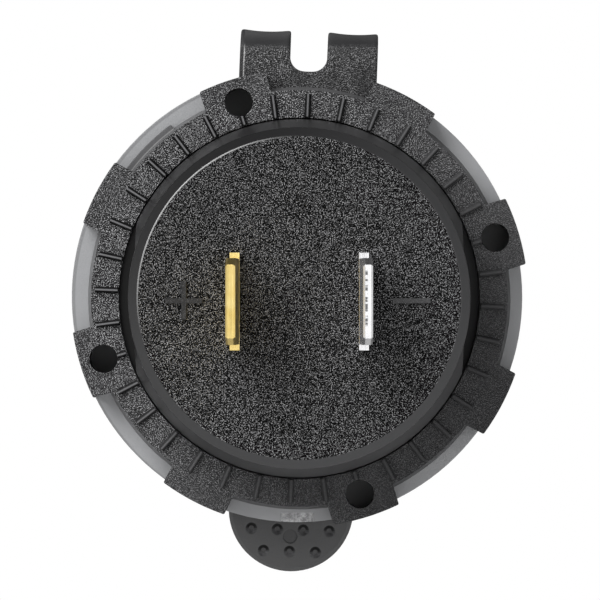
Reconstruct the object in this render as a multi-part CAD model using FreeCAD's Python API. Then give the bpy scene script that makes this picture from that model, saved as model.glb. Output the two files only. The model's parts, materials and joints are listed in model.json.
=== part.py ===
import FreeCAD, Part
import math
import os

# USB charging socket for a round panel hole.
# Working frame: x to the right and y up as seen from behind, z along the barrel towards the terminals.
# The panel lies against z = 0, the rear face of the mounting ring.
# send_out turns each solid into the frame of the part: front towards -Y, terminals towards +Y, +Z up.
# All sizes are in millimetres and all angles in degrees.

Vec = FreeCAD.Vector
os.makedirs("parts", exist_ok=True)

# Boards, which set the barrel's inside
board_thickness = 1.6
board_fit = 0.15
power_board_radius = 10.4
board_step = 0.9
ledge_width = 0.8
rear_space = 3.2

# Barrel
barrel_length = 30.0
barrel_wall = 2.0
barrel_taper = 1.57
barrel_rim_inset = 0.68
barrel_rim_depth = 0.85
barrel_edge_in = 0.07
barrel_edge_out = 0.05
barrel_rear_wall = 1.6
barrel_flange_lap = 0.73
relief_depth = 0.49
relief_half = 3.46
relief_ramp = 0.295
relief_end = 1.0
barrel_flange_thickness = 3.0
mark_height = 0.15
mark_stroke = 0.38
mark_span = 2.78
plus_mark_inset = 3.42
minus_mark_inset = 3.65
marks_y = -0.2

# Mounting ring
ring_thickness = 3.0
ring_bore_gap = 0.1
ring_band = 2.18
ring_tab_height = 1.63
ring_notch_flare = 0.34
ring_tab_width = 5.4
ring_tab_count = 8
ring_turn = 17.2
ring_corner = 0.08
screw_edge = 1.89
screw_hole_radius = 1.12
screw_count = 4
screw_room = 0.15
rib_count = 36
rib_start = 7.5
rib_inner_gap = 0.08
rib_outer_gap = 0.3
rib_width = 0.5
rib_height = 0.28
rib_top_share = 0.55
catch_start = 126.5
catch_end = 143.0
catch_width = 0.34
catch_depth = 1.6

# Trim ring
trim_inset = 0.17
trim_wall = 1.75
trim_bore_step = 1.1
trim_front_wall = 1.4
trim_edge_deep = 0.9
trim_edge_middle = 0.26
trim_shift_x = -0.18
trim_shift_y = 0.1
trim_gap = 0.05
trim_latch_width = 2.6
trim_latch_height = 0.75
trim_latch_depth = 0.25
trim_latch_x = -0.15

# Lid and hinge strap
lid_turn = -2.25
lid_inset = 1.16
lid_thickness = 1.7
lid_gap = 0.1
lid_edge = 0.5
lid_collar_gap = 0.3
lid_collar_wall = 1.2
lid_collar_length = 1.0
tab_radius = 5.0
tab_past_lid = 0.22
tab_thickness = 1.4
tab_edge = 0.3
dimple_radius = 0.47
dimple_floor_radius = 0.2
dimple_depth = 0.3
dimple_sides = 16
dimple_pitch = 2.08
dimple_row_below = 1.63
dimple_row_step = 1.75
pin_mark_radius = 0.56
pin_mark_depth = 0.08
pin_mark_sides = 20
pin_mark_below = 2.18
strap_thickness = 1.2
strap_width = 4.0
strap_between = 2.95
strap_rise = 3.49
strap_slot_rise = 0.14
strap_slot_round = 1.15
strap_root_rise = 0.6
strap_root_depth = 2.5
strap_foot_depth = 1.96
strap_foot_gap = 0.05

# Blade terminals
blade_width = 6.25
blade_thickness = 0.72
blade_tip_width = 5.3
blade_tip_length = 0.9
blade_length = 8.3
blade_bevel = 0.16
blade_shoulder_width = 7.15
blade_shoulder_height = 0.9
blade_offset_x = 4.73
blade_offset_y = -0.25
blade_lean = 1.5
blade_tail_width = 3.0
blade_tail_past_board = 1.0
blade_fit = 0.05

# Port face and ports
face_thickness = 1.8
face_recess = 0.4
face_step = 0.45
face_fit = 0.05
port_half_step = 4.1
port_fit = 0.08
shell_length = 13.8
shell_width = 13.1
shell_height = 5.7
shell_wall = 0.3
shell_corner = 0.6
tongue_width = 11.1
tongue_thickness = 1.84
tongue_drop = 0.55
tongue_recess = 0.8
tongue_block_length = 3.2
contact_pitches = (-3.5, -1.0, 1.0, 3.5)
contact_width = 1.0
contact_thickness = 0.2
contact_length = 7.2
contact_setback = 0.6

# Parts on the boards, placed by how far in from the power board's edge they lie, and at what angle
can_radius = 3.15
can_space = 2.8
can_edge = 0.6
small_can_radius = 2.0
small_can_length = 7.0
small_can_inset = 2.5
small_can_angle = 29.0
can_groove_depth = 0.25
can_groove_width = 0.7
can_groove_from_board = 1.3
can_edge_chamfer = 0.3
coil_core_radius = 3.5
coil_core_waist = 2.0
coil_height = 7.0
coil_rim = 1.2
coil_wire_gap = 0.15
coil_gap = 0.5
chip_length = 4.9
chip_width = 3.9
chip_height = 1.5
chip_leg_count = 4
chip_leg_pitch = 1.27
chip_leg_width = 0.42
chip_leg_reach = 1.05
chip_leg_thickness = 0.22
chip_leg_rise = 0.7
converter_chip_x = 0.0
converter_chip_y = 1.5
charge_chip_inset = 4.2
diode_length = 2.8
diode_width = 1.7
diode_height = 1.2
diode_inset = 2.5
diode_angle = 151.0
fuse_length = 3.2
fuse_width = 1.6
fuse_height = 0.9
fuse_inset = 2.4
fuse_angle = 207.0
chip_part_length = 1.6
chip_part_width = 0.8
chip_part_height = 0.5
chip_part_inset = 1.4
resistor_angles = (220.0, 236.0, 304.0, 320.0)
ceramic_angles = (149.0, 31.0, 180.0, 0.0)
link_pin_half = 0.32
link_pin_pitch = 2.54
link_pin_count = 4
link_pin_past_board = 0.9
link_inset = 2.2
link_fit = 0.03

# How far a cutter reaches past the face it opens
cutter_past = 1.0

# Radii that follow from the boards outwards
power_bore_radius = power_board_radius + board_fit
rear_bore_radius = power_bore_radius - ledge_width
port_board_radius = power_board_radius + board_step
port_bore_radius = port_board_radius + board_fit
front_bore_radius = port_bore_radius + face_step
face_radius = front_bore_radius - face_fit
barrel_rear_radius = power_bore_radius + barrel_wall
barrel_front_radius = barrel_rear_radius + barrel_taper
ring_bore_radius = barrel_front_radius + ring_bore_gap
ring_notch_radius = ring_bore_radius + ring_band
ring_tab_radius = ring_notch_radius + ring_tab_height
screw_circle_radius = ring_tab_radius - screw_edge
barrel_flange_radius = ring_bore_radius + barrel_flange_lap
trim_outer_radius = ring_tab_radius - trim_inset
trim_wall_inner_radius = trim_outer_radius - trim_wall
trim_bore_radius = front_bore_radius + trim_bore_step
lid_radius = trim_outer_radius - lid_inset
collar_outer_radius = trim_bore_radius - lid_collar_gap

# Heights above the axis that follow from the trim ring and the lid
tab_centre_y = -lid_radius - tab_past_lid
strap_top_y = trim_outer_radius + strap_rise
strap_slot_y = trim_outer_radius + strap_slot_rise
strap_root_y = lid_radius + strap_root_rise
strap_foot_y = trim_outer_radius - strap_foot_depth

# Places along the barrel
ring_front_z = -ring_thickness
flange_front_z = ring_front_z - barrel_flange_thickness
trim_rear_z = ring_front_z - trim_gap
trim_pocket_z = flange_front_z - trim_gap
trim_front_z = trim_pocket_z - trim_front_wall
lid_rear_z = trim_front_z - lid_gap
lid_front_z = lid_rear_z - lid_thickness
tab_rear_z = lid_front_z + tab_thickness
face_front_z = flange_front_z + face_recess
face_rear_z = face_front_z + face_thickness
port_board_z = face_front_z + shell_length
port_ledge_z = port_board_z + board_thickness
power_ledge_z = barrel_length - barrel_rear_wall - rear_space
power_board_z = power_ledge_z - board_thickness

# Places on the boards
can_length = power_board_z - port_ledge_z - can_space
can_y = can_radius + can_edge - power_board_radius
coil_y = can_y + can_radius + coil_gap + coil_core_radius
link_y = power_board_radius - link_inset


def send_out(name, shape):
    """Turn a finished solid into the part's frame and write it."""
    turn = FreeCAD.Matrix(-1, 0, 0, 0, 0, 0, 1, 0, 0, 1, 0, 0, 0, 0, 0, 1)
    shape.transformed(turn).exportStep("parts/" + name + ".step")


def cylinder(radius, low_z, high_z, x=0.0, y=0.0):
    return Part.makeCylinder(radius, high_z - low_z, Vec(x, y, low_z))


def cone(low_radius, high_radius, low_z, high_z):
    return Part.makeCone(low_radius, high_radius, high_z - low_z, Vec(0, 0, low_z))


def tube(outer_radius, inner_radius, low_z, high_z):
    return cylinder(outer_radius, low_z, high_z).cut(cylinder(inner_radius, low_z, high_z))


def box(low_x, high_x, low_y, high_y, low_z, high_z):
    return Part.makeBox(high_x - low_x, high_y - low_y, high_z - low_z, Vec(low_x, low_y, low_z))


def centred_box(width, height, low_z, high_z, x=0.0, y=0.0):
    return box(x - width / 2, x + width / 2, y - height / 2, y + height / 2, low_z, high_z)


def turned(shape, angle):
    """Turn about the barrel's axis, counter-clockwise as seen from behind."""
    copy = shape.copy()
    copy.rotate(Vec(0, 0, 0), Vec(0, 0, 1), angle)
    return copy


def moved(shape, x=0.0, y=0.0, z=0.0):
    copy = shape.copy()
    copy.translate(Vec(x, y, z))
    return copy


def revolved(points):
    """Turn a closed outline of (radius, z) points about the barrel's axis."""
    outline = Part.makePolygon([Vec(radius, 0, z) for radius, z in points + points[:1]])
    return Part.Face(outline).revolve(Vec(0, 0, 0), Vec(0, 0, 1), 360)


def polygon(sides, radius, z):
    """Closed regular outline about the barrel's axis."""
    corners = []
    for number in range(sides + 1):
        angle = 2 * math.pi * (number % sides) / sides
        corners.append(Vec(radius * math.cos(angle), radius * math.sin(angle), z))
    return Part.makePolygon(corners)


def edges_along_axis(shape, radius_low, radius_high):
    """Straight edges parallel to the barrel that lie between two distances from it."""
    found = []
    for edge in shape.Edges:
        if len(edge.Vertexes) != 2:
            continue
        low, high = edge.Vertexes[0].Point, edge.Vertexes[1].Point
        distance = math.hypot(low.x, low.y)
        upright = abs(low.x - high.x) < 1e-6 and abs(low.y - high.y) < 1e-6
        if upright and radius_low < distance < radius_high:
            found.append(edge)
    return found


def circle_edges(shape, z, radius):
    """Round edges of one radius that lie at one height."""
    found = []
    for edge in shape.Edges:
        if hasattr(edge.Curve, "Radius") and abs(edge.Curve.Radius - radius) < 1e-4:
            if abs(edge.BoundBox.ZMin - z) < 1e-4 and abs(edge.BoundBox.ZMax - z) < 1e-4:
                found.append(edge)
    return found


def edge_place(inset, angle):
    """A point on the boards, that far in from the power board's edge."""
    reach = power_board_radius - inset
    return reach * math.cos(math.radians(angle)), reach * math.sin(math.radians(angle))


def bevelled_disc(radius, low_z, high_z, bevel, x=0.0, y=0.0):
    """Disc whose edge at low_z is cut back by a bevel."""
    disc = cylinder(radius, low_z, high_z)
    return moved(disc.makeChamfer(bevel, circle_edges(disc, low_z, radius)), x, y)


# Barrel: drafted shell, open at the front, with two ledges for the boards
def make_relief(high_z):
    """Cutter for the sunk strip along the barrel's side, with a ramp at each edge."""
    floor_x = barrel_rear_radius - relief_depth
    ramp_x = floor_x + relief_ramp * (barrel_front_radius - relief_half)
    far_x = 2 * barrel_front_radius
    outline = Part.makePolygon([
        Vec(floor_x, -relief_half, ring_front_z),
        Vec(floor_x, relief_half, ring_front_z),
        Vec(ramp_x, barrel_front_radius, ring_front_z),
        Vec(far_x, barrel_front_radius, ring_front_z),
        Vec(far_x, -barrel_front_radius, ring_front_z),
        Vec(ramp_x, -barrel_front_radius, ring_front_z),
        Vec(floor_x, -relief_half, ring_front_z),
    ])
    return Part.Face(outline).extrude(Vec(0, 0, high_z - ring_front_z))


def make_barrel():
    rim_z = barrel_length - barrel_rim_depth
    face_edge = barrel_rear_radius - barrel_rim_inset
    edge_z = barrel_length - barrel_edge_out * barrel_rim_depth / barrel_rim_inset
    outside = revolved([
        (0, flange_front_z),
        (barrel_flange_radius, flange_front_z),
        (barrel_flange_radius, ring_front_z),
        (barrel_front_radius, ring_front_z),
        (barrel_front_radius, 0),
        (barrel_rear_radius, rim_z),
        (face_edge + barrel_edge_out, edge_z),
        (face_edge - barrel_edge_in, barrel_length),
        (0, barrel_length),
    ])
    relief = make_relief(rim_z - relief_end)
    outside = outside.cut([relief, turned(relief, 180)])
    inside = revolved([
        (0, flange_front_z),
        (front_bore_radius, flange_front_z),
        (front_bore_radius, face_rear_z),
        (port_bore_radius, face_rear_z),
        (port_bore_radius, port_ledge_z),
        (power_bore_radius, port_ledge_z),
        (power_bore_radius, power_ledge_z),
        (rear_bore_radius, power_ledge_z),
        (rear_bore_radius, barrel_length - barrel_rear_wall),
        (0, barrel_length - barrel_rear_wall),
    ])
    shell = outside.cut(inside)
    for side in (-1, 1):
        slot = centred_box(blade_thickness + 2 * blade_fit, blade_tail_width + 2 * blade_fit,
                           barrel_length - 2 * barrel_rear_wall, barrel_length + cutter_past,
                           side * blade_offset_x, blade_offset_y)
        shell = shell.cut(slot)
    top = barrel_length + mark_height
    sunk = barrel_length - mark_height
    plus_x = plus_mark_inset - face_edge
    across = centred_box(mark_span, mark_stroke, sunk, top, plus_x, marks_y)
    upright = centred_box(mark_stroke, mark_span, sunk, top, plus_x, marks_y)
    minus = centred_box(mark_span, mark_stroke, sunk, top, face_edge - minus_mark_inset, marks_y)
    return shell.fuse([across, upright, minus]).removeSplitter()


def at_screws(shape):
    """Copies of a shape that stands at the screw circle, one for each screw."""
    return [turned(shape, ring_turn + number * 360 / screw_count) for number in range(screw_count)]


def screw_rooms(room, low_z, high_z):
    """One cylinder at each screw, wider than the screw hole by the room given."""
    return at_screws(cylinder(screw_hole_radius + room, low_z, high_z, screw_circle_radius))


# Mounting ring: castellated, ribbed on the face that meets the panel
def make_rib():
    inner = ring_bore_radius + rib_inner_gap
    outer = ring_notch_radius - rib_outer_gap
    half = rib_width / 2
    half_top = half * rib_top_share
    section = Part.makePolygon([
        Vec(inner, -half, -rib_height),
        Vec(inner, -half, 0),
        Vec(inner, -half_top, rib_height),
        Vec(inner, half_top, rib_height),
        Vec(inner, half, 0),
        Vec(inner, half, -rib_height),
        Vec(inner, -half, -rib_height),
    ])
    return Part.Face(section).extrude(Vec(outer - inner, 0, 0))


def make_mounting_ring():
    hub = cone(ring_notch_radius + ring_notch_flare, ring_notch_radius, ring_front_z, 0)
    disc = cylinder(ring_tab_radius, ring_front_z, 0)
    tabs = []
    for number in range(ring_tab_count):
        bar = box(0, 2 * ring_tab_radius, -ring_tab_width / 2, ring_tab_width / 2, ring_front_z, 0)
        tabs.append(turned(bar, ring_turn + number * 360 / ring_tab_count).common(disc))
    body = hub.fuse(tabs).removeSplitter()
    corners = edges_along_axis(body, ring_tab_radius - ring_corner, ring_tab_radius + ring_corner)
    body = body.makeChamfer(ring_corner, corners)
    catch_radius = ring_notch_radius + ring_notch_flare + catch_width
    catch = Part.makeCylinder(catch_radius, catch_depth, Vec(0, 0, ring_front_z), Vec(0, 0, 1),
                              catch_end - catch_start)
    body = body.fuse(turned(catch, catch_start))
    body = body.cut(cylinder(ring_bore_radius, ring_front_z, 0))
    ribs = [turned(make_rib(), rib_start + number * 360 / rib_count) for number in range(rib_count)]
    body = body.fuse(ribs)
    return body.cut(screw_rooms(0, ring_front_z, rib_height)).removeSplitter()


# Trim ring: hollow behind, with room for the screw tips and the strap's foot
def strap_parts_width():
    return 2 * strap_width + strap_between


def make_trim_ring():
    solid = moved(revolved([
        (trim_bore_radius, trim_front_z),
        (trim_outer_radius - trim_edge_deep, trim_front_z),
        (trim_outer_radius - trim_edge_middle, trim_front_z + trim_edge_middle),
        (trim_outer_radius, trim_front_z + trim_edge_deep),
        (trim_outer_radius, trim_rear_z),
        (trim_wall_inner_radius, trim_rear_z),
        (trim_wall_inner_radius, trim_pocket_z),
        (trim_bore_radius, trim_pocket_z),
    ]), trim_shift_x, trim_shift_y)
    solid = solid.cut(screw_rooms(screw_room, trim_pocket_z, trim_rear_z))
    foot_half = strap_parts_width() / 2 + strap_foot_gap
    pocket = box(-foot_half, foot_half, strap_foot_y - strap_foot_gap, 2 * trim_outer_radius,
                 trim_rear_z - strap_thickness - strap_foot_gap, trim_rear_z)
    solid = solid.cut(turned(pocket, lid_turn))
    latch_top = trim_shift_y - trim_outer_radius + trim_latch_height
    latch = box(trim_latch_x - trim_latch_width / 2, trim_latch_x + trim_latch_width / 2,
                -2 * trim_outer_radius, latch_top, trim_rear_z - trim_latch_depth, trim_rear_z)
    return solid.cut(latch)


# Lid: disc with a finger tab below, a sealing collar behind and a grip pattern on the tab
def make_lid():
    disc = bevelled_disc(lid_radius, lid_front_z, lid_rear_z, lid_edge)
    tab = bevelled_disc(tab_radius, lid_front_z, tab_rear_z, lid_edge)
    tab = tab.makeChamfer(tab_edge, circle_edges(tab, tab_rear_z, tab_radius))
    body = disc.fuse(moved(tab, 0, tab_centre_y))
    root_half = strap_parts_width() / 2
    root = box(-root_half, root_half, strap_root_y - strap_root_depth, strap_root_y,
               lid_front_z, lid_front_z + strap_thickness)
    body = body.fuse(root)
    collar = tube(collar_outer_radius, collar_outer_radius - lid_collar_wall,
                  lid_rear_z, lid_rear_z + lid_collar_length)
    body = body.fuse(moved(collar, trim_shift_x, trim_shift_y))
    dimple = Part.makeLoft([polygon(dimple_sides, dimple_floor_radius, tab_rear_z - dimple_depth),
                            polygon(dimple_sides, dimple_radius, tab_rear_z)], True, True)
    for row, count in ((0, 4), (1, 3)):
        for number in range(count):
            x = (number - (count - 1) / 2) * dimple_pitch
            y = tab_centre_y - dimple_row_below - row * dimple_row_step
            body = body.cut(moved(dimple, x, y))
    mark = Part.Face(polygon(pin_mark_sides, pin_mark_radius, tab_rear_z - pin_mark_depth))
    mark = mark.extrude(Vec(0, 0, pin_mark_depth))
    return body.cut(moved(mark, 0, tab_centre_y - pin_mark_below)).removeSplitter()


# Hinge strap: one foot behind, two bands bent over the top, ending at the lid's upper edge
def make_hinge_strap():
    rear_z = trim_rear_z
    front_z = lid_front_z
    bend_radius = (rear_z - front_z) / 2
    centre_z = (rear_z + front_z) / 2
    centre_y = strap_top_y - bend_radius
    half = strap_parts_width() / 2
    outer = Part.makeCylinder(bend_radius, 2 * half, Vec(-half, centre_y, centre_z), Vec(1, 0, 0))
    inner = Part.makeCylinder(bend_radius - strap_thickness, 2 * half, Vec(-half, centre_y, centre_z),
                              Vec(1, 0, 0))
    upper = box(-half, half, centre_y, strap_top_y + cutter_past,
                front_z - cutter_past, rear_z + cutter_past)
    bend = outer.cut(inner).common(upper)
    rear_leg = box(-half, half, strap_foot_y, centre_y, rear_z - strap_thickness, rear_z)
    front_leg = box(-half, half, strap_root_y, centre_y, front_z, front_z + strap_thickness)
    slot = box(-strap_between / 2, strap_between / 2, strap_slot_y, strap_top_y + cutter_past,
                front_z - cutter_past, rear_z + cutter_past)
    strap = rear_leg.fuse([bend, front_leg]).removeSplitter()
    corners = edges_along_axis(slot, 0, strap_slot_y + cutter_past)
    strap = turned(strap.cut(slot.makeFillet(strap_slot_round, corners)), lid_turn)
    notch_side = 2 * (screw_hole_radius + screw_room)
    notch = centred_box(notch_side, notch_side, trim_pocket_z, trim_rear_z, screw_circle_radius)
    return strap.cut(at_screws(notch))


# Blade terminal: bevelled blade, shoulder against the rear wall, tail through wall and board
def make_blade(side):
    half = blade_width / 2
    half_tip = blade_tip_width / 2
    tip_z = barrel_length + blade_length
    outline = Part.makePolygon([
        Vec(0, -half, barrel_length),
        Vec(0, half, barrel_length),
        Vec(0, half, tip_z - blade_tip_length),
        Vec(0, half_tip, tip_z),
        Vec(0, -half_tip, tip_z),
        Vec(0, -half, tip_z - blade_tip_length),
        Vec(0, -half, barrel_length),
    ])
    blade = Part.Face(outline).extrude(Vec(blade_thickness, 0, 0))
    tip_edges = [edge for edge in blade.Edges
                 if edge.BoundBox.ZMin > barrel_length + blade_length / 2 and edge.BoundBox.XLength < 1e-6]
    blade = blade.makeChamfer(blade_bevel, tip_edges)
    blade = moved(blade, -blade_thickness / 2)
    blade.rotate(Vec(0, 0, barrel_length), Vec(0, 1, 0), side * blade_lean)
    below = box(-barrel_front_radius, barrel_front_radius, -barrel_front_radius, barrel_front_radius,
                barrel_length - cutter_past, barrel_length)
    blade = blade.cut(below)
    shoulder = centred_box(blade_thickness, blade_shoulder_width, barrel_length,
                           barrel_length + blade_shoulder_height)
    tail = centred_box(blade_thickness, blade_tail_width, power_board_z - blade_tail_past_board, barrel_length)
    return moved(blade.fuse([shoulder, tail]).removeSplitter(), side * blade_offset_x, blade_offset_y)


# Round boards with slots for the blades and holes for the link pins
def link_places():
    return [((number - (link_pin_count - 1) / 2) * link_pin_pitch, link_y) for number in range(link_pin_count)]


def drill_for_link(board, low_z):
    hole_half = link_pin_half + link_fit
    for x, y in link_places():
        board = board.cut(centred_box(2 * hole_half, 2 * hole_half, low_z, low_z + board_thickness, x, y))
    return board


def make_power_board():
    board = cylinder(power_board_radius, power_board_z, power_board_z + board_thickness)
    for side in (-1, 1):
        slot = centred_box(blade_thickness + 2 * blade_fit, blade_tail_width + 2 * blade_fit,
                           power_board_z, power_board_z + board_thickness,
                           side * blade_offset_x, blade_offset_y)
        board = board.cut(slot)
    return drill_for_link(board, power_board_z)


def make_port_board():
    return drill_for_link(cylinder(port_board_radius, port_board_z, port_ledge_z), port_board_z)


def make_board_link():
    side = 2 * link_pin_half
    return Part.makeCompound([centred_box(side, side, port_board_z - link_pin_past_board,
                                          power_ledge_z + link_pin_past_board, x, y)
                              for x, y in link_places()])


# Ports: folded shell, moulded tongue and four contacts, one set above the other
def rounded_block(width, height, low_z, high_z, corner, y):
    block = centred_box(width, height, low_z, high_z, 0, y)
    return block.makeFillet(corner, edges_along_axis(block, 0, 10 * width))


def make_shell(y):
    outside = rounded_block(shell_width, shell_height, face_front_z, port_board_z, shell_corner, y)
    inside = rounded_block(shell_width - 2 * shell_wall, shell_height - 2 * shell_wall,
                           face_front_z, port_board_z, shell_corner - shell_wall, y)
    return outside.cut(inside)


def make_tongue(y):
    block_front = port_board_z - tongue_block_length
    block = rounded_block(shell_width - 2 * shell_wall - 2 * port_fit, shell_height - 2 * shell_wall - 2 * port_fit,
                          block_front, port_board_z, shell_corner - shell_wall, y)
    tongue = centred_box(tongue_width, tongue_thickness, face_front_z + tongue_recess, block_front,
                         0, y + tongue_drop)
    return block.fuse(tongue).removeSplitter()


def make_contacts(y):
    top = y + tongue_drop - tongue_thickness / 2
    front = face_front_z + tongue_recess + contact_setback
    return Part.makeCompound([box(x - contact_width / 2, x + contact_width / 2, top - contact_thickness, top,
                                  front, front + contact_length) for x in contact_pitches])


def make_port_face():
    face = cylinder(face_radius, face_front_z, face_rear_z)
    for side in (-1, 1):
        window = rounded_block(shell_width + 2 * port_fit, shell_height + 2 * port_fit,
                               face_front_z, face_rear_z, shell_corner, side * port_half_step)
        face = face.cut(window)
    return face


# Parts on the boards; those on the power board stand towards the front
def make_can(radius, length, x, y):
    base = power_board_z
    groove_z = base - can_groove_from_board
    return moved(revolved([
        (0, base),
        (radius, base),
        (radius, groove_z + can_groove_width / 2),
        (radius - can_groove_depth, groove_z),
        (radius, groove_z - can_groove_width / 2),
        (radius, base - length + can_edge_chamfer),
        (radius - can_edge_chamfer, base - length),
        (0, base - length),
    ]), x, y)


def make_coil_core():
    base = power_board_z
    return moved(revolved([
        (0, base),
        (coil_core_radius, base),
        (coil_core_radius, base - coil_rim),
        (coil_core_waist, base - coil_rim),
        (coil_core_waist, base - coil_height + coil_rim),
        (coil_core_radius, base - coil_height + coil_rim),
        (coil_core_radius, base - coil_height),
        (0, base - coil_height),
    ]), 0, coil_y)


def make_coil_winding():
    low = power_board_z - coil_height + coil_rim
    high = power_board_z - coil_rim
    return moved(tube(coil_core_radius - coil_wire_gap, coil_core_waist, low, high), 0, coil_y)


def make_chip(board_z, x, y):
    """Small-outline chip on the rear face of a board."""
    leg_side = chip_width / 2 + chip_leg_reach
    low = chip_leg_thickness / 2
    body = centred_box(chip_length, chip_width, low, chip_height)
    legs = []
    for number in range(chip_leg_count):
        at = (number - (chip_leg_count - 1) / 2) * chip_leg_pitch
        for side in (-1, 1):
            foot_in = side * (chip_width / 2 + chip_leg_reach / 2)
            foot = box(at - chip_leg_width / 2, at + chip_leg_width / 2,
                       min(foot_in, side * leg_side), max(foot_in, side * leg_side), 0, chip_leg_thickness)
            knee_out = foot_in + side * chip_leg_thickness
            knee = box(at - chip_leg_width / 2, at + chip_leg_width / 2,
                       min(foot_in, knee_out), max(foot_in, knee_out), 0, chip_leg_rise)
            bridge_in = side * (chip_width / 2 - chip_leg_thickness)
            bridge = box(at - chip_leg_width / 2, at + chip_leg_width / 2,
                         min(bridge_in, knee_out), max(bridge_in, knee_out),
                         chip_leg_rise - chip_leg_thickness, chip_leg_rise)
            legs += [foot, knee, bridge]
    return moved(body.fuse(legs).removeSplitter(), x, y, board_z)


def make_power_block(length, width, height, inset, angle):
    """Plain block on the front face of the power board, turned to lie along its edge."""
    block = centred_box(width, length, power_board_z - height, power_board_z, power_board_radius - inset)
    return turned(block, angle)


def make_edge_blocks(angles):
    """Small blocks on the rear face of the port board, near the barrel's wall."""
    block = centred_box(chip_part_width, chip_part_length, port_ledge_z, port_ledge_z + chip_part_height,
                        power_board_radius - chip_part_inset)
    return Part.makeCompound([turned(block, angle) for angle in angles])


send_out("barrel", make_barrel())
send_out("mounting_ring", make_mounting_ring())
send_out("trim_ring", make_trim_ring())
send_out("lid", turned(make_lid(), lid_turn))
send_out("hinge_strap", make_hinge_strap())
send_out("positive_terminal", make_blade(-1))
send_out("negative_terminal", make_blade(1))
send_out("port_face", make_port_face())
for level, height in (("upper", port_half_step), ("lower", -port_half_step)):
    send_out("usb_shell_" + level, make_shell(height))
    send_out("usb_tongue_" + level, make_tongue(height))
    send_out("usb_contacts_" + level, make_contacts(height))
send_out("power_board", make_power_board())
send_out("port_board", make_port_board())
send_out("board_link", make_board_link())
send_out("input_capacitor", make_can(can_radius, can_length, 0, can_y))
send_out("output_capacitor", make_can(small_can_radius, small_can_length,
                                      *edge_place(small_can_inset, small_can_angle)))
send_out("inductor_core", make_coil_core())
send_out("inductor_winding", make_coil_winding())
send_out("converter_chip", make_chip(port_ledge_z, converter_chip_x, converter_chip_y))
send_out("charge_chip", make_chip(port_ledge_z, 0, charge_chip_inset - power_board_radius))
send_out("rectifier_diode", make_power_block(diode_length, diode_width, diode_height, diode_inset, diode_angle))
send_out("input_fuse", make_power_block(fuse_length, fuse_width, fuse_height, fuse_inset, fuse_angle))
send_out("board_resistors", make_edge_blocks(resistor_angles))
send_out("board_ceramics", make_edge_blocks(ceramic_angles))
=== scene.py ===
import json
import math

import bpy
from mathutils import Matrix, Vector


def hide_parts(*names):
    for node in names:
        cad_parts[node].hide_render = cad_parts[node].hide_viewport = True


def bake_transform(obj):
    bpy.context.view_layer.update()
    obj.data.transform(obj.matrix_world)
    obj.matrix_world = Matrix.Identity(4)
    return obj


MM = 0.001

# Axes: across the socket, along its barrel, and up
ACROSS = 0
ALONG = 1
UP = 2

# Camera: straight behind, close to the barrel's axis
CAMERA_DISTANCE = 430 * MM
CAMERA_OFFSET_X = -0.055 * MM
CAMERA_OFFSET_Z = -0.14 * MM
CAMERA_LENS = 327.7
CAMERA_SENSOR = 36.0
CAMERA_CLIP_START = 10 * MM

# Floor and lamps, in metres and watts
FLOOR_LEVEL = -60 * MM
FLOOR_RADIUS = 600 * MM
FLOOR_SIDES = 96
KEY_PLACE = (0.36, 0.4, 0.42)
KEY_SIZE = 0.6
KEY_POWER = 7.8
FILL_PLACE = (-0.4, 0.45, -0.1)
FILL_SIZE = 1.0
FILL_POWER = 2.0

# Surroundings: the light on the object, and the studio that reflections see
AMBIENT = 0.3
STUDIO_DIM = 0.03
STUDIO_BRIGHT = 0.8
STUDIO_BRIGHT_SIDE = (0.05, 0.1, -0.8)
STUDIO_DIM_AT = -0.75
STUDIO_BRIGHT_AT = 0.2
STUDIO_FRONT = 0.08
STUDIO_FRONT_AT = -0.9
STUDIO_FRONT_END = -0.25
WHITE = (1.0, 1.0, 1.0, 1.0)

# Places on the object, in millimetres
REAR_FACE_Y = 29.98
MARKS_Y = 30.06
RING_FACE_Y = -0.03
RIB_Y = 0.02
LATCH_FLOOR_Y = -3.3
LATCH_TOP_Z = -16.0
TRIM_SHADE_RADIUS = 17.72
TAB_CENTRE = (0.665, 0, -16.92)
TAB_REACH = 4.3
DIMPLE_Y = -8.01
DIMPLE_HALF = 0.13
BLADE_END_Y = 38.1
TIN_BLADE_X = -4.83
STRAP_SMOOTH_Z = 19.9
STRAP_HIGHLIGHT_FROM_Z = 20.2
STRAP_TOP_Z = 21.8
STRAP_FRONT_Y = -5.5
STRAP_HIGHLIGHT_ACROSS = 5.13

# Ribs: number, first angle in degrees, and the crest's width in millimetres
RIB_COUNT = 36
RIB_START = 7.5
RIB_CREST_HALF = 0.04
RIB_CREST_FADE = 0.05

# Painted edge highlights: place along the barrel, reach from its axis, and half of the width
RIM_HIGHLIGHT = (29.965, 11.86, 0.2)
CATCH_HIGHLIGHT = (-1.4, 16.66, 0.03)

# Painted light and shade, in millimetres towards the lit upper left or out from the barrel's axis
LIT_SIDE = (0.8, 0, 0.6)
LIT_SIDE_REACH = 14.0
HIGHLIGHT_SIDE_FROM = 7.0
HIGHLIGHT_SIDE_TO = 11.5
TAB_LIT_FADE_FROM = 15.6
TAB_LIT_FADE_TO = 17.0
TAB_LIT_SHARE = 0.6

# Spark-eroded grain: cells per millimetre, the specks' shares, depth in millimetres, stops on the ramp
GRAIN_SCALE = 12.5
SPECK_SCALE = 11.0
SPECK_RELIEF = 0.3
SPECK_TONE = 0.2
GRAIN_DEPTH = 0.16
PIT_STOP = 0.38
MIDDLE_STOP = 0.52
PEAK_STOP = 0.7

# Finish: fades and rounding in millimetres, the spread of a noise, and the blue share of blacks
STEP_FADE = 0.02
SOFT_FADE = 0.1
STRAP_FADE = 0.4
EDGE_ROUND = 0.12
NOISE_LOW = 0.3
NOISE_HIGH = 0.7
BLUE_SHARE = 1.03
BLUE_SHARE_PEAK = 1.02
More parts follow.
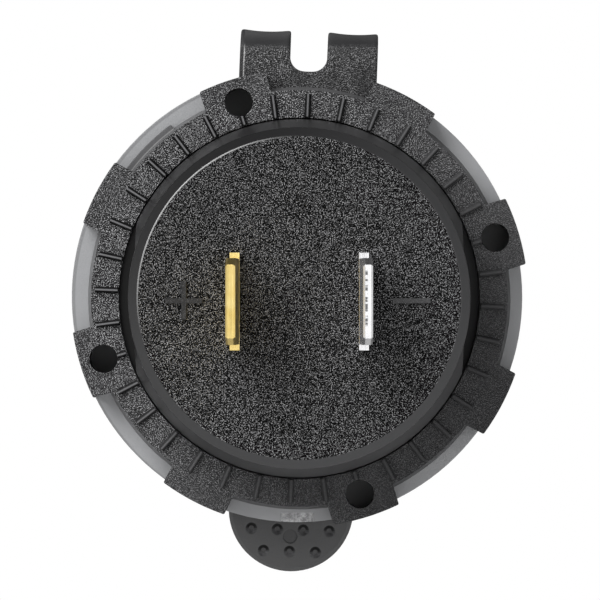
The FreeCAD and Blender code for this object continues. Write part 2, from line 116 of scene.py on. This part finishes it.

# Colours and tones
# Painted highlight on the rim's and the catch's edges
EDGE_HIGHLIGHT_COLOUR = (0.2, 0.2, 0.2)
# Painted shade on the rib slopes, and the crest's painted highlight on the shaded side
RIB_SLOPE_SHADE = 0.006
RIB_CREST_SHADED = 0.05
# Painted shade and painted light in the tab's dimples
DIMPLE_SHADE = 0.003
DIMPLE_LIT = 0.1
STRAP_PLAIN = ((0.018, 0.018, 0.019), (0.028, 0.028, 0.029))
# Painted highlight at the top of the strap's bend
STRAP_BEND_HIGHLIGHT = (0.075, 0.075, 0.076)
STRAP_GRAIN = (0.003, 0.028, 0.26)
STRAP_SIDE = (0.03, 0.03, 0.031)
# Painted highlight along the strap's edge
STRAP_EDGE_HIGHLIGHT = (0.36, 0.36, 0.36)
TRIM_PLAIN = ((0.24, 0.243, 0.251), (0.275, 0.278, 0.285))
TRIM_TORN = ((0.2, 0.2, 0.205), (0.5, 0.5, 0.51))
# Painted shade along the trim's outer edge
TRIM_EDGE_SHADE = (0.05, 0.05, 0.052)
# Painted reflection of the grain on the tinned blade's end
REFLECTED_GRAIN = (0.03, 0.03, 0.03)
SOLDER_MASK = ((0.012, 0.075, 0.03), (0.03, 0.16, 0.06))
LACQUERED_COPPER = ((0.42, 0.14, 0.05), (0.62, 0.25, 0.1))

# Strap mesh
STRAP_TURN = math.radians(2.25)
STRAP_ACROSS = Vector((math.cos(STRAP_TURN), 0, math.sin(STRAP_TURN)))
STRAP_UP = Vector((-math.sin(STRAP_TURN), 0, math.cos(STRAP_TURN)))
STRAP_BAND_OFFSET = 3.475 * MM
STRAP_BAND_HALF = 2.0 * MM
STRAP_CUP = 0.16 * MM
STRAP_CUP_FROM = 19.4 * MM
STRAP_CUP_TO = 21.3 * MM
STRAP_VOXEL = 0.13 * MM
STRAP_SMOOTHING = 14
STRAP_SMOOTHING_SHARE = 0.5

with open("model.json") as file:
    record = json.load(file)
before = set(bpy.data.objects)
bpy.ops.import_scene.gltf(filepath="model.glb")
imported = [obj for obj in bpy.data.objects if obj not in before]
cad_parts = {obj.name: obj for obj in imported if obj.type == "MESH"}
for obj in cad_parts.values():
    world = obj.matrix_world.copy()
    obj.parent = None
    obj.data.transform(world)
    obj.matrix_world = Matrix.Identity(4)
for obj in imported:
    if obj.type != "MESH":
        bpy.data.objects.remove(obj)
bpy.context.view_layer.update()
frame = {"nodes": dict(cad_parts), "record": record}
scene = bpy.context.scene


# Node building
class Graph:
    """Short calls for the nodes of a material or a world; inputs are sockets to link or values to set."""

    def __init__(self, owner, output_kind):
        owner.use_nodes = True
        self.owner = owner
        self.tree = owner.node_tree
        self.tree.nodes.clear()
        self.output = self.tree.nodes.new(output_kind)

    def feed(self, socket, value):
        if isinstance(value, bpy.types.NodeSocket):
            self.tree.links.new(value, socket)
        else:
            socket.default_value = value

    def add(self, kind, inputs, **settings):
        node = self.tree.nodes.new(kind)
        for key, value in settings.items():
            setattr(node, key, value)
        for key, value in inputs.items():
            self.feed(node.inputs[key], value)
        return node

    def show(self, shader):
        self.feed(self.output.inputs["Surface"], shader)
        return self.owner

    def place(self):
        """Object coordinates in millimetres."""
        coordinates = self.add("ShaderNodeTexCoord", {}).outputs["Object"]
        scaled = self.add("ShaderNodeVectorMath", {0: coordinates, "Scale": 1 / MM}, operation="SCALE")
        return scaled.outputs["Vector"]

    def normal(self):
        return self.add("ShaderNodeTexCoord", {}).outputs["Normal"]

    def axes(self, place):
        return self.add("ShaderNodeSeparateXYZ", {"Vector": place}).outputs

    def moved(self, place, origin):
        return self.add("ShaderNodeVectorMath", {0: place, 1: origin}, operation="SUBTRACT").outputs["Vector"]

    def stretched(self, place, scale):
        return self.add("ShaderNodeVectorMath", {0: place, 1: scale}, operation="MULTIPLY").outputs["Vector"]

    def toward(self, place, direction):
        """How far a place lies in a direction."""
        node = self.add("ShaderNodeVectorMath", {0: place, 1: direction}, operation="DOT_PRODUCT")
        return node.outputs["Value"]

    def reach(self, place):
        """Distance from the barrel's axis."""
        across = self.stretched(place, (1.0, 0.0, 1.0))
        return self.add("ShaderNodeVectorMath", {0: across}, operation="LENGTH").outputs["Value"]

    def noise(self, place, scale, detail=3.0, roughness=0.55):
        node = self.add("ShaderNodeTexNoise",
                        {"Vector": place, "Scale": scale, "Detail": detail, "Roughness": roughness})
        return node.outputs["Fac"]

    def cells(self, place, scale):
        """A random colour for each cell."""
        return self.add("ShaderNodeTexVoronoi", {"Vector": place, "Scale": scale}).outputs["Color"]

    def maths(self, operation, first, second=0.0):
        return self.add("ShaderNodeMath", {0: first, 1: second}, operation=operation).outputs["Value"]

    def product(self, first, *others):
        for other in others:
            first = self.maths("MULTIPLY", first, other)
        return first

    def weighed(self, first, second, share):
        """Sum of two values, with the second one's share."""
        return self.maths("ADD", self.product(first, 1 - share), self.product(second, share))

    def ranged(self, value, start, end, low, high, easing="SMOOTHSTEP"):
        node = self.add("ShaderNodeMapRange", {"Value": value, "From Min": start, "From Max": end,
                                               "To Min": low, "To Max": high}, interpolation_type=easing)
        return node.outputs["Result"]

    def rising(self, value, start, end):
        return self.ranged(value, start, end, 0.0, 1.0)

    def falling(self, value, start, end):
        return self.ranged(value, start, end, 1.0, 0.0)

    def between(self, share, low, high):
        return self.ranged(share, 0.0, 1.0, low, high)

    def spread(self, noise, low, high):
        """The middle of a noise's range, drawn out from low to high."""
        return self.ranged(noise, NOISE_LOW, NOISE_HIGH, low, high)

    def band(self, value, centre, half, fade):
        """One within a distance of a value, and nothing further off."""
        offset = self.maths("ABSOLUTE", self.maths("SUBTRACT", value, centre))
        return self.falling(offset, half, half + fade)

    def mixed(self, share, first, second):
        """Colour between two colours, which have the mix node's sockets 6 and 7."""
        node = self.add("ShaderNodeMix", {"Factor": share}, data_type="RGBA")
        for socket, colour in zip((node.inputs[6], node.inputs[7]), (first, second)):
            self.feed(socket, colour if isinstance(colour, bpy.types.NodeSocket) else (*colour, 1.0))
        return node.outputs[2]

    def rounded(self, radius):
        return self.add("ShaderNodeBevel", {"Radius": radius * MM}, samples=6).outputs["Normal"]

    def bump(self, height, depth, strength=1.0, normal=None):
        inputs = {"Height": height, "Distance": depth * MM, "Strength": strength}
        if normal is not None:
            inputs["Normal"] = normal
        return self.add("ShaderNodeBump", inputs).outputs["Normal"]

    def glow(self, strength):
        return self.add("ShaderNodeBackground", {"Color": WHITE, "Strength": strength}).outputs[0]

    def chosen(self, share, first, second):
        """Shader between two shaders."""
        return self.add("ShaderNodeMixShader", {0: share, 1: first, 2: second}).outputs[0]


def material_graph(name):
    return Graph(bpy.data.materials.new(name), "ShaderNodeOutputMaterial")


def principled(graph, colour, roughness, normal, metallic=0.0, specular=0.5, **others):
    shader = graph.add("ShaderNodeBsdfPrincipled",
                       {"Base Color": colour, "Roughness": roughness, "Normal": normal,
                        "Metallic": metallic, "Specular IOR Level": specular, **others})
    return graph.show(shader.outputs["BSDF"])


def gray(level, blue_share=BLUE_SHARE):
    return level, level, level * blue_share


# Materials
def spark_grain(graph, place):
    """Spark-eroded grain: its height, and its tone from black pits to bright peaks.

    The tone is partly the grain's own and partly painted shade in the pits and painted glints on the peaks.
    """
    fine = graph.noise(place, GRAIN_SCALE, detail=0.5, roughness=0.6)
    specks = graph.axes(graph.cells(place, SPECK_SCALE))[ACROSS]
    height = graph.maths("ADD", fine, graph.product(specks, SPECK_RELIEF))
    return height, graph.weighed(fine, specks, SPECK_TONE)


def grain_colour(graph, tone, pit, middle, peak):
    ramp = graph.add("ShaderNodeValToRGB", {"Fac": tone})
    stops = ramp.color_ramp.elements
    stops[0].position = PIT_STOP
    stops[0].color = (*gray(pit), 1.0)
    stops[1].position = PEAK_STOP
    stops[1].color = (*gray(peak, BLUE_SHARE_PEAK), 1.0)
    centre = stops.new(MIDDLE_STOP)
    centre.color = (*gray(middle), 1.0)
    return ramp.outputs["Color"]


def rib_offset(graph, place):
    """Distance sideways from the middle of the nearest rib."""
    axes = graph.axes(place)
    angle = graph.maths("ARCTAN2", axes[UP], graph.product(axes[ACROSS], -1.0))
    pitch = 2 * math.pi / RIB_COUNT
    ribs = graph.maths("SUBTRACT", graph.maths("DIVIDE", angle, pitch), math.radians(RIB_START) / pitch)
    share = graph.maths("PINGPONG", ribs, 0.5)
    return graph.product(share, pitch, graph.reach(place))


def textured_black(name, grain_from, grain_to, raised_grain, plain, gloss, lit_tones, shaded_tones, edge,
                   rib_highlight=None):
    """Black moulded plastic, grained between two places along the barrel.

    What is raised above the second place has less grain. The grain's tones are painted light and shade: a
    lit copy on the upper left as seen from behind, a shaded copy on the lower right, and less of the lit
    copy on the tabs. The plain tone and the gloss are pairs, for the shaded side and the lit side. One edge
    gets a painted highlight on the lit side. Ribs, where there are any, have a painted highlight along the
    crest between slopes in painted shade, lighter on the lit side.
    """
    graph = material_graph(name)
    place = graph.place()
    along = graph.axes(place)[ALONG]
    reach = graph.reach(place)
    # Painted light and shade: lit copies of the tones on the upper left, shaded copies on the lower right,
    # and less of the lit copy on the tabs
    side = graph.toward(place, LIT_SIDE)
    lit_share = graph.rising(side, -LIT_SIDE_REACH, LIT_SIDE_REACH)
    height, tone = spark_grain(graph, place)
    inward = graph.ranged(reach, TAB_LIT_FADE_FROM, TAB_LIT_FADE_TO, 1.0, TAB_LIT_SHARE)
    grain = graph.mixed(graph.product(lit_share, inward), grain_colour(graph, tone, *shaded_tones),
                        grain_colour(graph, tone, *lit_tones))
    above = graph.rising(along, grain_from - STEP_FADE, grain_from)
    below = graph.ranged(along, grain_to, grain_to + STEP_FADE, 1.0, raised_grain)
    grained = graph.product(above, below)
    smooth = graph.mixed(lit_share, gray(plain[0]), gray(plain[1]))
    colour = graph.mixed(grained, smooth, grain)
    # Painted highlight: a bright band along one edge, on the lit side only
    highlight_y, highlight_reach, highlight_half = edge
    near = graph.product(graph.band(along, highlight_y, half=0.025, fade=0.01),
                         graph.band(reach, highlight_reach, highlight_half, STEP_FADE))
    colour = graph.mixed(graph.product(near, graph.rising(side, HIGHLIGHT_SIDE_FROM, HIGHLIGHT_SIDE_TO)), colour, EDGE_HIGHLIGHT_COLOUR)
    # Painted highlight along each rib's crest and painted shade on its slopes, stronger and brighter on the
    # lit side
    if rib_highlight:
        crest = graph.band(rib_offset(graph, place), 0.0, RIB_CREST_HALF, RIB_CREST_FADE)
        crest_highlight_colour = graph.mixed(lit_share, gray(RIB_CREST_SHADED), gray(rib_highlight))
        raised = graph.rising(along, grain_to, grain_to + STEP_FADE)
        lined = graph.product(raised, graph.between(lit_share, low=0.3, high=1.0))
        colour = graph.mixed(lined, colour, graph.mixed(crest, gray(RIB_SLOPE_SHADE), crest_highlight_colour))
    rough = graph.between(grained, low=0.36, high=0.66)
    polish = graph.product(graph.maths("SUBTRACT", 1.0, grained), graph.between(lit_share, *gloss))
    uneven = graph.spread(graph.noise(place, scale=0.25), low=0.8, high=1.0)
    strength = graph.product(uneven, graph.between(grained, low=0.003, high=1.0))
    normal = graph.bump(height, GRAIN_DEPTH, strength, graph.rounded(EDGE_ROUND))
    return principled(graph, colour, rough, normal, specular=0.05,
                      **{"Coat Weight": polish, "Coat Roughness": 0.18, "Coat Normal": normal})


def dimple_light_and_shade(graph, place, colour):
    """In the tab's dimples: painted shade under the upper edge and painted light on the lower wall."""
    along = graph.axes(place)[ALONG]
    on_tab = graph.falling(graph.reach(graph.moved(place, TAB_CENTRE)), TAB_REACH, TAB_REACH + SOFT_FADE)
    inside = graph.product(graph.band(along, DIMPLE_Y, DIMPLE_HALF, STEP_FADE), on_tab)
    facing_up = graph.rising(graph.axes(graph.normal())[UP], start=-0.3, end=0.5)
    return graph.mixed(inside, colour, graph.mixed(facing_up, gray(DIMPLE_SHADE), gray(DIMPLE_LIT)))


def satin_black(name, base, rough, dimples=False):
    """Soft black moulding with a faint grain and rubbed patches."""
    graph = material_graph(name)
    place = graph.place()
    cloud = graph.noise(place, scale=0.6, detail=4.0)
    grain = graph.noise(place, scale=7.0)
    tone = graph.weighed(cloud, grain, share=0.7)
    colour = graph.mixed(tone, gray(base * 0.8, blue_share=1.025), gray(base * 1.25, blue_share=1.016))
    # Painted light and shade in the dimples
    if dimples:
        colour = dimple_light_and_shade(graph, place, colour)
    normal = graph.bump(grain, depth=0.02, normal=graph.rounded(EDGE_ROUND))
    return principled(graph, colour, graph.spread(cloud, *rough), normal, specular=0.45)


def strap_black(name):
    """The strap: patchy grain on the foot, and a plain bend with a painted highlight towards its top."""
    graph = material_graph(name)
    place = graph.place()
    axes = graph.axes(place)
    height, tone = spark_grain(graph, place)
    behind = graph.rising(axes[ALONG], STRAP_FRONT_Y - STRAP_FADE, STRAP_FRONT_Y + STRAP_FADE)
    below = graph.falling(axes[UP], STRAP_SMOOTH_Z - STRAP_FADE, STRAP_SMOOTH_Z + STRAP_FADE)
    grained = graph.product(behind, below)
    plain = graph.mixed(graph.noise(place, scale=0.5), *STRAP_PLAIN)
    # Painted highlight towards the top of the bend
    plain = graph.mixed(graph.rising(axes[UP], STRAP_HIGHLIGHT_FROM_Z, STRAP_TOP_Z), plain, STRAP_BEND_HIGHLIGHT)
    patches = graph.ranged(graph.noise(place, scale=0.4, detail=2.0), start=0.4, end=0.6, low=0.5, high=1.0)
    colour = graph.mixed(graph.product(grained, patches), plain, grain_colour(graph, tone, *STRAP_GRAIN))
    across = graph.toward(place, STRAP_ACROSS)
    beside = graph.rising(across, STRAP_HIGHLIGHT_ACROSS, STRAP_HIGHLIGHT_ACROSS + 0.06)
    colour = graph.mixed(beside, colour, STRAP_SIDE)
    # Painted highlight: a bright stripe along the strap's edge on the grained foot
    edge_highlight = graph.product(graph.band(across, STRAP_HIGHLIGHT_ACROSS, half=0.03, fade=0.03), grained)
    colour = graph.mixed(edge_highlight, colour, STRAP_EDGE_HIGHLIGHT)
    rough = graph.between(grained, low=0.36, high=0.6)
    normal = graph.bump(height, GRAIN_DEPTH, graph.between(grained, low=0.04, high=1.0))
    return principled(graph, colour, rough, normal, specular=0.25)


def gray_trim(name):
    """Satin gray, with a rough torn floor in the latch recess at the bottom, and painted shade at the outer
    edge.
    """
    graph = material_graph(name)
    place = graph.place()
    axes = graph.axes(place)
    grain = graph.noise(place, scale=9.0)
    torn = graph.noise(place, scale=3.2, detail=4.0, roughness=0.7)
    latch = graph.product(graph.band(axes[ALONG], LATCH_FLOOR_Y, half=0.03, fade=0.03),
                          graph.falling(axes[UP], LATCH_TOP_Z, LATCH_TOP_Z + SOFT_FADE))
    plain = graph.mixed(graph.noise(place, scale=0.35), *TRIM_PLAIN)
    rubbed = graph.mixed(graph.rising(torn, start=0.35, end=0.65), *TRIM_TORN)
    # Painted shade: a dark band along the outer edge
    edge = graph.ranged(graph.reach(place), TRIM_SHADE_RADIUS, TRIM_SHADE_RADIUS + SOFT_FADE,
                        low=0.0, high=0.35)
    colour = graph.mixed(edge, graph.mixed(latch, plain, rubbed), TRIM_EDGE_SHADE)
    rough = graph.spread(grain, low=0.36, high=0.46)
    torn_relief = 8.0
    relief = graph.maths("ADD", grain, graph.product(torn, latch, torn_relief))
    normal = graph.bump(relief, depth=0.015, normal=graph.rounded(EDGE_ROUND))
    return principled(graph, colour, rough, normal)


def reflected_grain_specks(graph, place):
    """Row of dark specks along the middle of the tinned blade's end: a painted reflection of the grain."""
    across, along, up = graph.axes(place)
    middle = graph.band(across, TIN_BLADE_X, half=0.05, fade=0.08)
    span = graph.band(up, 0.0, half=1.8, fade=0.3)
    streaks = graph.noise(graph.stretched(place, (0.6, 0.6, 2.4)), scale=1.0, detail=1.0)
    specks = graph.rising(streaks, start=0.46, end=0.54)
    at_end = graph.ranged(along, BLADE_END_Y, BLADE_END_Y + SOFT_FADE, low=0.0, high=0.85)
    return graph.product(middle, span, specks, at_end)


def rolled_metal(name, tarnished, bright, rough, streak_axis, round_radius=0.06, reflected_specks=False):
    """Rolled strip: fine streaks along one axis, and darker cloudy tarnish."""
    graph = material_graph(name)
    place = graph.place()
    streak_scale = [9.0, 9.0, 9.0]
    streak_scale[streak_axis] = 0.4
    streaks = graph.noise(graph.stretched(place, streak_scale), scale=1.0)
    cloud = graph.noise(place, scale=0.7, detail=4.0)
    colour = graph.mixed(graph.rising(cloud, start=0.3, end=0.75), bright, tarnished)
    # Painted reflection of the grain as dark specks on the tinned blade's end
    if reflected_specks:
        colour = graph.mixed(reflected_grain_specks(graph, place), colour, REFLECTED_GRAIN)
    uneven = graph.ranged(streaks, start=0.25, end=0.75, low=rough[0], high=rough[1])
    normal = graph.bump(streaks, depth=0.004, normal=graph.rounded(round_radius))
    return principled(graph, colour, uneven, normal, metallic=1.0)


def circuit_board(name):
    """Green solder mask with copper runs showing through as lighter lines."""
    graph = material_graph(name)
    place = graph.place()
    runs = graph.add("ShaderNodeTexBrick", {"Vector": place, "Scale": 0.55, "Mortar Size": 0.05,
                                            "Mortar Smooth": 0.3}).outputs["Fac"]
    weave = graph.noise(place, scale=6.0, detail=2.0)
    weave_relief = 0.2
    colour = graph.mixed(runs, *SOLDER_MASK)
    rough = graph.spread(weave, low=0.28, high=0.42)
    normal = graph.bump(graph.maths("ADD", runs, graph.product(weave, weave_relief)), depth=0.03)
    return principled(graph, colour, rough, normal)


def fine_grained(name, dark, light, rough, scale, depth):
    """Plain moulded or pressed piece: two near colours, a grain and uneven gloss."""
    graph = material_graph(name)
    place = graph.place()
    grain = graph.noise(place, scale)
    colour = graph.mixed(graph.noise(place, scale=0.9), dark, light)
    normal = graph.bump(grain, depth, normal=graph.rounded(radius=0.05))
    return principled(graph, colour, graph.spread(grain, *rough), normal)


def wound_wire(name):
    """Lacquered copper turns across the coil's axis."""
    graph = material_graph(name)
    place = graph.place()
    turns_per_length = 7.0
    waves = graph.maths("SINE", graph.product(graph.axes(place)[ALONG], turns_per_length))
    cloud = graph.noise(place, scale=1.2)
    colour = graph.mixed(cloud, *LACQUERED_COPPER)
    rough = graph.spread(cloud, low=0.22, high=0.34)
    normal = graph.bump(graph.maths("ABSOLUTE", waves), depth=0.12)
    return principled(graph, colour, rough, normal, metallic=1.0)


materials = {
    # Ring: lit and shaded copies of its tones, painted light and shade
    "black_textured": textured_black("ring_black", RING_FACE_Y, RIB_Y, raised_grain=0.12,
                                     plain=(0.045, 0.09), gloss=(0.1, 0.1), lit_tones=(0.003, 0.042, 0.43),
                                     shaded_tones=(0.034, 0.058, 0.13), edge=CATCH_HIGHLIGHT, rib_highlight=0.13),
    "gray_trim": gray_trim("trim_gray"),
    "black_elastomer": satin_black("lid_black", base=0.046, rough=(0.46, 0.52), dimples=True),
    "brass_blade": rolled_metal("blade_brass", (0.86, 0.63, 0.2), (0.98, 0.78, 0.32), rough=(0.26, 0.36),
                                streak_axis=UP),
    "tinned_blade": rolled_metal("blade_tin", (0.8, 0.8, 0.81), (0.94, 0.94, 0.95), rough=(0.24, 0.34),
                                 streak_axis=UP, reflected_specks=True),
    "black_face": satin_black("face_black", base=0.016, rough=(0.34, 0.46)),
    "plated_steel": rolled_metal("shell_steel", (0.55, 0.55, 0.56), (0.74, 0.74, 0.75), rough=(0.2, 0.34),
                                 streak_axis=ALONG, round_radius=0.04),
    "tongue_plastic": fine_grained("tongue_white", (0.62, 0.62, 0.6), (0.7, 0.7, 0.68), rough=(0.4, 0.52),
                                   scale=6.0, depth=0.01),
    "gold_contact": rolled_metal("contact_gold", (0.78, 0.5, 0.16), (0.9, 0.66, 0.28), rough=(0.16, 0.26),
                                 streak_axis=ALONG, round_radius=0.03),
    "board_green": circuit_board("board_mask"),
    "can_aluminium": rolled_metal("can_metal", (0.6, 0.6, 0.61), (0.78, 0.78, 0.79), rough=(0.26, 0.4),
                                  streak_axis=ALONG),
    "ferrite": fine_grained("ferrite_gray", (0.03, 0.03, 0.032), (0.05, 0.05, 0.052), rough=(0.55, 0.7),
                            scale=9.0, depth=0.02),
    "copper_wire": wound_wire("wire_copper"),
    "chip_black": fine_grained("chip_epoxy", (0.012, 0.012, 0.013), (0.022, 0.022, 0.024), rough=(0.5, 0.65),
                               scale=12.0, depth=0.01),
    "fuse_white": fine_grained("fuse_ceramic", (0.66, 0.66, 0.63), (0.76, 0.76, 0.73), rough=(0.35, 0.5),
                               scale=8.0, depth=0.01),
    "ceramic_tan": fine_grained("ceramic_tan", (0.34, 0.24, 0.14), (0.44, 0.32, 0.2), rough=(0.35, 0.5),
                                scale=8.0, depth=0.01),
}
# Barrel: lit and shaded copies of its tones, painted light and shade
barrel_black = textured_black("barrel_black", REAR_FACE_Y, MARKS_Y, raised_grain=0.15,
                              plain=(0.057, 0.009), gloss=(0.12, 0.6), lit_tones=(0.0002, 0.003, 0.25),
                              shaded_tones=(0.0002, 0.003, 0.26), edge=RIM_HIGHLIGHT)

node_slots = {entry["node"]: entry["material_slot"] for entry in frame["record"]["subparts"]}
for name, node in frame["nodes"].items():
    node.data.materials.clear()
    node.data.materials.append(barrel_black if name == "barrel" else materials[node_slots[name]])


# Hinge strap: a soft copy of the solid, remeshed fine and smoothed
def cup_bands(mesh):
    """Sink the middle of each band a little towards the top of the bend."""
    for vertex in mesh.vertices:
        across = abs(abs(vertex.co.dot(STRAP_ACROSS)) - STRAP_BAND_OFFSET) / STRAP_BAND_HALF
        rise = (vertex.co.dot(STRAP_UP) - STRAP_CUP_FROM) / (STRAP_CUP_TO - STRAP_CUP_FROM)
        share = max(0.0, min(1.0, rise)) * max(0.0, 1 - across * across)
        vertex.co -= STRAP_UP * STRAP_CUP * share


def make_strap():
    strap = bpy.data.objects.new("strap_soft", frame["nodes"]["hinge_strap"].data.copy())
    scene.collection.objects.link(strap)
    remesh = strap.modifiers.new("remesh", "REMESH")
    remesh.mode = "VOXEL"
    remesh.voxel_size = STRAP_VOXEL
    remesh.use_smooth_shade = True
    smoothing = strap.modifiers.new("smoothing", "SMOOTH")
    smoothing.iterations = STRAP_SMOOTHING
    smoothing.factor = STRAP_SMOOTHING_SHARE
    bpy.context.view_layer.update()
    evaluated = strap.evaluated_get(bpy.context.evaluated_depsgraph_get())
    mesh = bpy.data.meshes.new_from_object(evaluated)
    strap.modifiers.clear()
    cup_bands(mesh)
    strap.data = mesh
    strap.data.materials.clear()
    strap.data.materials.append(strap_black("strap_black"))
    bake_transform(strap)
    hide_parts("hinge_strap")


make_strap()


# Floor: reflections pass it by and see the studio instead
def make_floor():
    bpy.ops.mesh.primitive_circle_add(vertices=FLOOR_SIDES, radius=FLOOR_RADIUS, fill_type="NGON",
                                      location=(0, 0, FLOOR_LEVEL))
    floor = bpy.context.object
    floor.name = "floor"
    floor.visible_glossy = False
    pale = fine_grained("floor_pale", (0.86, 0.86, 0.86), (0.9, 0.9, 0.9), rough=(0.8, 0.9),
                        scale=0.02, depth=0.01)
    floor.data.materials.append(pale)


make_floor()


# Light
def make_world():
    """White to the camera; reflections see a studio that is bright below and dim above and in front."""
    scene.world = bpy.data.worlds.new("studio")
    graph = Graph(scene.world, "ShaderNodeOutputWorld")
    path = graph.add("ShaderNodeLightPath", {}).outputs
    direction = graph.add("ShaderNodeTexCoord", {}).outputs["Generated"]
    level = graph.ranged(graph.toward(direction, STUDIO_BRIGHT_SIDE), STUDIO_DIM_AT, STUDIO_BRIGHT_AT,
                         STUDIO_DIM, STUDIO_BRIGHT, easing="LINEAR")
    front = graph.ranged(graph.axes(direction)[ALONG], STUDIO_FRONT_AT, STUDIO_FRONT_END,
                         STUDIO_FRONT, 1.0, easing="LINEAR")
    studio = graph.glow(graph.product(level, front))
    lit = graph.chosen(path["Is Glossy Ray"], graph.glow(AMBIENT), studio)
    shown = graph.maths("MAXIMUM", path["Is Camera Ray"], path["Is Transmission Ray"])
    graph.show(graph.chosen(shown, lit, graph.glow(1.0)))


def make_lamp(name, place, size, power):
    data = bpy.data.lights.new(name, "AREA")
    data.shape = "DISK"
    data.size = size
    data.energy = power
    lamp = bpy.data.objects.new(name, data)
    lamp.location = place
    lamp.rotation_euler = (-Vector(place)).to_track_quat("-Z", "Y").to_euler()
    scene.collection.objects.link(lamp)


make_world()
make_lamp("key", KEY_PLACE, KEY_SIZE, KEY_POWER)
make_lamp("fill", FILL_PLACE, FILL_SIZE, FILL_POWER)


# Camera
def make_camera():
    data = bpy.data.cameras.new("camera")
    data.lens = CAMERA_LENS
    data.sensor_width = CAMERA_SENSOR
    data.clip_start = CAMERA_CLIP_START
    camera = bpy.data.objects.new("camera", data)
    camera.location = (CAMERA_OFFSET_X, CAMERA_DISTANCE, CAMERA_OFFSET_Z)
    camera.rotation_euler = (math.pi / 2, 0, math.pi)
    scene.collection.objects.link(camera)
    scene.camera = camera


make_camera()
scene.view_settings.view_transform = "Standard"
